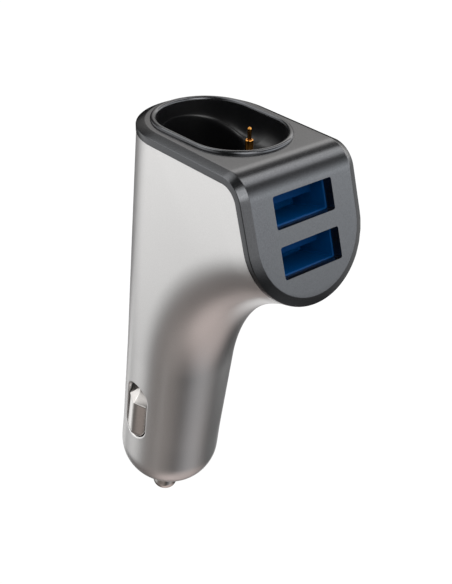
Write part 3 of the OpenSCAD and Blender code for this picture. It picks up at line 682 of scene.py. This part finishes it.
# Nickel plating with the turning's fine marks: sharp, bright reflections
nickel = finish("nickel_plated_brass", "#d6d2ce", "#e6e2df", 1800, 220, (0.05, 0.1),
                metal=1.0, bump=0.02)
make_piece("nose_contact", [turned(tip_profile, np.linspace(0, 2*math.pi, 97))],
           "tip", nickel, "centre_contact")

# Side contacts
# Pressed steel, nickel plated: a ridged bar in each side slot, with its top curved back
# so that a socket pushes it in, and a flange behind the wall.
CROWN_W, CROWN_LEN, CROWN_EDGE = 5.7, 13.4, 0.25
RIDGE_SLOPE, RIDGE_R, RIDGE_OUT, FLANK_BOW = 0.38, 0.12, 10.95, 0.02
RIDGE_FOOT, BACK_LEN, BACK_DROP, BACK_HOLLOW = 1.3, 4.2, 1.4, 2.4
FLANGE_Y0, FLANGE_Y1, FLANGE_HALF = 6.576, 7.576, (4.0, 7.95, 0.5)
crown_low, crown_high = SLOT_Z - CROWN_LEN/2, SLOT_Z + CROWN_LEN/2


def ridge_out(z):
    """Distance of the contact's ridge from the barrel's axis at a height: a round foot, a
    plain length, and from a crease on a hollow curve back to the top."""
    foot = np.clip(1 - (z - crown_low)/RIDGE_FOOT, 0, 1)
    top = np.clip((z - crown_high + BACK_LEN)/BACK_LEN, 0, 1)
    set_back = BACK_DROP*(1 - (1 - top)**BACK_HOLLOW)
    return RIDGE_OUT - RIDGE_FOOT*(1 - np.sqrt(1 - foot**2)) - set_back


# Each bar's face is a fan of rays to its edge, with its points crowded towards the edge
crown_turn = np.linspace(0, 2*math.pi, 193)
crown_reach = stadium_reach(crown_turn, (CROWN_LEN - CROWN_W)/2, CROWN_W/2)
spread_out = 1 - np.linspace(1, 0, 49)[:, None]**1.5
crown_x = spread_out*crown_reach*np.sin(crown_turn)
crown_z = SLOT_Z + spread_out*crown_reach*np.cos(crown_turn)
flank = RIDGE_SLOPE*(np.hypot(crown_x, RIDGE_R) - RIDGE_R) + FLANK_BOW*crown_x**2
to_edge = np.minimum((1 - spread_out)*crown_reach, CROWN_EDGE)
crown_y = ridge_out(crown_z) - flank - CROWN_EDGE
crown_y += np.sqrt(CROWN_EDGE**2 - (CROWN_EDGE - to_edge)**2)
crown = np.stack([crown_x, -crown_y, crown_z], -1)
crown_foot = crown[[-1, 0]]*np.array([1, 0, 1]) - np.array([0, FLANGE_Y1 - 0.2, 0])
flange = box_rows([(0, 0, 0, FLANGE_Y0), (*FLANGE_HALF, FLANGE_Y0),
                   (*FLANGE_HALF, FLANGE_Y1), (0, 0, 0, FLANGE_Y1)])
flange = np.stack([flange[..., 0], -flange[..., 2], SLOT_Z + flange[..., 1]], -1)
for where, side in (("near", 1), ("far", -1)):
    grids = [g*np.array([1, side, 1]) for g in (np.concatenate([crown, crown_foot]), flange)]
    make_piece("side_bar_" + where, grids,
               where + "_side_contact", nickel, "side_contact_" + where)

# Works inside
# Springs, boards and their parts keep the CAD's own solids, each in its real finish.
# Drawn wire keeps a dull shine, and the steel boxes of the sockets are plain tinplate.
wire = finish("drawn_spring_wire", "#a6a5a2", "#b9b7b3", 3000, 300, (0.25, 0.35),
              metal=1.0, bump=0.04)
tinplate = finish("plain_tinplate", "#b9b9b6", "#c8c7c3", 2200, 120, (0.22, 0.34),
                  metal=1.0, bump=0.03)
# Green solder mask over the weave of the board
board = finish("green_solder_mask", "#0d4a26", "#125a30", 1500, 90, (0.3, 0.4),
               bump=0.08, specular=0.7)
# Sintered ferrite: dull and grainy
ferrite = finish("sintered_ferrite", "#242426", "#303033", 2600, 200, (0.55, 0.7), bump=0.15)
# Printed sleeve of a capacitor, slightly shiny where it has shrunk
sleeve = finish("shrunk_blue_sleeve", "#141b3f", "#1b2450", 1200, 150, (0.25, 0.4), bump=0.04)
# Moulded epoxy of the chips: dark and matt
epoxy = finish("moulded_black_epoxy", "#161616", "#1e1e1e", 3200, 240, (0.5, 0.62), bump=0.1)
# Unpainted nylon of the insulating disc
nylon = finish("natural_nylon", "#d3ccb8", "#ded8c6", 1500, 120, (0.45, 0.6), bump=0.05)
for slot, material, names in (
        ("gold_plate", gold, ("usb_contacts_upper", "usb_contacts_lower", "dock_header")),
        ("plated_steel", tinplate, ("usb_shield_upper", "usb_shield_lower")),
        ("spring_steel", wire, ("tip_spring", "side_spring_near", "side_spring_far")),
        ("circuit_board", board, ("main_board", "usb_board", "dock_board")),
        ("ferrite", ferrite, ("choke",)),
        ("capacitor_can", sleeve, ("input_capacitor", "output_capacitor")),
        ("chip_black", epoxy, ("controller_chip", "rectifier_chip")),
        ("insulator", nylon, ("spring_seat",))):
    for name in names:
        nodes[name].data.materials.clear()
        nodes[name].data.materials.append(material)

# Ground
# A plain white floor well below the plug. The camera sees it nearly white, with only a
# trace of shading. A sheet of it that runs back behind the plug also shows in metal and
# through glass, and the studio's own lower half lights the plug in place of the rest.
FLOOR_Z, FLOOR_HALF = -80.0, 3000.0
# The floor's own glow, of which 1 is white, and the share of it that takes shading
FLOOR_GLOW, FLOOR_SHADING = 1.03, 0.06
# The sheet's direction, and the distances over which its edges fade, in metres
SHEET_AZIMUTH, SHEET_FADE = 139.0, {"From Min": 20*MM, "From Max": 60*MM}
floor_mesh = bpy.data.meshes.new("floor")
floor_mesh.from_pydata([(x*FLOOR_HALF*MM, y*FLOOR_HALF*MM, FLOOR_Z*MM) for x, y in
                        ((-1, -1), (1, -1), (1, 1), (-1, 1))], [], [(0, 1, 2, 3)])
floor = bpy.data.objects.new("floor", floor_mesh)
scene.collection.objects.link(floor)
white = bpy.data.materials.new("white_sweep")
white.use_nodes = True
tree = white.node_tree
tree.nodes.clear()
glow = add_node(tree, "ShaderNodeEmission", {"Color": (1, 1, 1, 1), "Strength": FLOOR_GLOW})
paper = add_node(tree, "ShaderNodeBsdfDiffuse", {"Color": linear_rgba("#f7f7f7")})
seen = add_node(tree, "ShaderNodeMixShader", {0: FLOOR_SHADING},
                {1: glow.outputs[0], 2: paper.outputs[0]})
clear = add_node(tree, "ShaderNodeBsdfTransparent")
path = add_node(tree, "ShaderNodeLightPath").outputs
place = add_node(tree, "ShaderNodeTexCoord").outputs["Object"]
turn = math.radians(SHEET_AZIMUTH)
along, across = [
    add_node(tree, "ShaderNodeVectorMath", {"operation": "DOT_PRODUCT", 1: way}, {0: place})
    for way in ((math.cos(turn), math.sin(turn), 0), (-math.sin(turn), math.cos(turn), 0))]
aside = add_node(tree, "ShaderNodeMath", {"operation": "ABSOLUTE"}, {0: across.outputs["Value"]})
wide = add_node(tree, "ShaderNodeMapRange",
                {"interpolation_type": "SMOOTHSTEP", **SHEET_FADE, "To Min": 1.0, "To Max": 0.0},
                {"Value": aside.outputs[0]})
sheet = add_node(tree, "ShaderNodeMapRange", {"interpolation_type": "SMOOTHSTEP", **SHEET_FADE},
                 {"Value": along.outputs["Value"], "To Max": wide.outputs["Result"]})
mirrored = add_node(tree, "ShaderNodeMath", {"operation": "MAXIMUM"},
                    {0: path["Is Glossy Ray"], 1: path["Is Transmission Ray"]})
shown = add_node(tree, "ShaderNodeMath", {"operation": "MULTIPLY_ADD", "use_clamp": True},
                 {0: mirrored.outputs[0], 1: sheet.outputs["Result"], 2: path["Is Camera Ray"]})
ground = add_node(tree, "ShaderNodeMixShader", {},
                  {0: shown.outputs[0], 1: clear.outputs[0], 2: seen.outputs[0]})
add_node(tree, "ShaderNodeOutputMaterial", {}, {"Surface": ground.outputs[0]})
floor_mesh.materials.append(white)

# Light
# A studio of soft boxes, as the plug's reflections show it. Long boxes lie along Y
# behind the plug, given by their angle round Y from +X. Round ones fill in the rest.
LONG_TOP = 4.0
LONG_BOXES = (
    # (angle round Y, strength)
    (-12, 0), (0, 1.4), (20, 2.7), (35, 1.45), (45, 0.54), (55, 0.2), (65, 0.15), (75, 2.2),
    (85, 3.1), (95, 3.1), (105, 0.1), (115, 0.13), (125, 0.4), (135, 2.6), (145, 2.4),
    (155, 1.25), (170, 0.4), (180, 0.1),
)
# The long boxes start at the first of these shares of +Y and are full at the second
LONG_FROM, LONG_FULL = 0.05, 0.4
# Those in front are a little cooler, and those at the rear a little warmer
COOL_ANGLE, WARM_ANGLE, WARMTH = 40, 120, 0.03
ROUND_BOXES = (
    # (azimuth, elevation, full within, gone beyond, strength, colour)
    (-138, -15, 8, 46, 1.0, "#ffffff"),
    (-122, -43, 4, 24, 0.1, "#ffffff"),
    (-11, 20, 5, 32, 1.4, "#ffffff"),
    (-22, 48, 6, 26, 3.6, "#ffffff"),
    (36, -75, 5, 32, 0.57, "#ffeee9"),
    (-152, 45, 5, 32, 2.8, "#ffffff"),
    (-69, -45, 5, 32, 0.18, "#fff4ee"),
    (-68, -43.5, 1, 4, 0.6, "#ffffff"),
    (-92, -43.5, 1, 4, 0.15, "#fff0ea"),
    (177, -43.5, 3, 8, 0.9, "#ffffff"),
    (-108, -75, 5, 32, 0.16, "#ffeee9"),
    (-40, -62, 5, 26, 0.09, "#fff2ec"),
    (22, -30, 5, 32, 0.18, "#ffffff"),
    (8, -45, 2, 24, 0.15, "#f2f7ff"),
    (-159, -15, 5, 32, 0.25, "#ffffff"),
    (80, 0, 8, 50, 0.56, "#ffffff"),
    (152, -45, 5, 32, 0.1, "#ffffff"),
    (-116, 20, 5, 32, 0.6, "#ffffff"),
    (-100, 0, 5, 32, 0.8, "#ffffff"),
)
world = bpy.data.worlds.new("studio")
scene.world = world
world.use_nodes = True
tree = world.node_tree
tree.nodes.clear()
ray_way = add_node(tree, "ShaderNodeTexCoord").outputs["Generated"]
part = add_node(tree, "ShaderNodeSeparateXYZ", {}, {"Vector": ray_way}).outputs
round_y = add_node(tree, "ShaderNodeMath", {"operation": "ARCTAN2"}, {0: part["Z"], 1: part["X"]})
angles, strengths = np.array(LONG_BOXES, float).T
along_ramp = add_node(tree, "ShaderNodeMapRange", {
    "From Min": math.radians(angles[0]), "From Max": math.radians(angles[-1])},
    {"Value": round_y.outputs[0]})
boxes = add_node(tree, "ShaderNodeValToRGB", {}, {"Fac": along_ramp.outputs["Result"]})
stops = boxes.color_ramp.elements
for at in (angles - angles[0])[1:-1]/(angles[-1] - angles[0]):
    stops.new(at)
warmths = np.interp(angles, (COOL_ANGLE, WARM_ANGLE), (-WARMTH, WARMTH))
for stop, strength, warm in zip(stops, strengths/LONG_TOP, warmths):
    stop.color = (strength*(1 + warm), strength, strength*(1 - warm), 1)
behind = add_node(tree, "ShaderNodeMapRange", {
    "interpolation_type": "SMOOTHSTEP", "From Min": LONG_FROM, "From Max": LONG_FULL,
    "To Max": LONG_TOP}, {"Value": part["Y"]})
level = add_node(tree, "ShaderNodeVectorMath", {"operation": "MULTIPLY"},
                 {0: boxes.outputs["Color"], 1: behind.outputs["Result"]}).outputs["Vector"]
for azimuth, elevation, full, gone, strength, colour in ROUND_BOXES:
    a, e = math.radians(azimuth), math.radians(elevation)
    aim = (math.cos(a)*math.cos(e), math.sin(a)*math.cos(e), math.sin(e))
    facing = add_node(tree, "ShaderNodeVectorMath",
                      {"operation": "DOT_PRODUCT", 1: aim}, {0: ray_way})
    share = add_node(tree, "ShaderNodeMapRange", {
        "interpolation_type": "SMOOTHSTEP", "From Min": math.cos(math.radians(gone)),
        "From Max": math.cos(math.radians(full)), "To Max": strength},
        {"Value": facing.outputs["Value"]})
    level = add_node(tree, "ShaderNodeVectorMath",
                     {"operation": "MULTIPLY_ADD", 1: linear_rgba(colour)[:3]},
                     {0: share.outputs["Result"], 2: level}).outputs["Vector"]
studio = add_node(tree, "ShaderNodeBackground", {}, {"Color": level})
plain = add_node(tree, "ShaderNodeBackground", {"Color": (1, 1, 1, 1), "Strength": 1.0})
path = add_node(tree, "ShaderNodeLightPath").outputs
open_ray = add_node(tree, "ShaderNodeMath", {"operation": "MAXIMUM"},
                    {0: path["Is Camera Ray"], 1: path["Is Transmission Ray"]})
mixed = add_node(tree, "ShaderNodeMixShader", {},
                 {0: open_ray.outputs[0], 1: studio.outputs[0], 2: plain.outputs[0]})
add_node(tree, "ShaderNodeOutputWorld", {}, {"Surface": mixed.outputs[0]})
scene.view_settings.view_transform = "Standard"
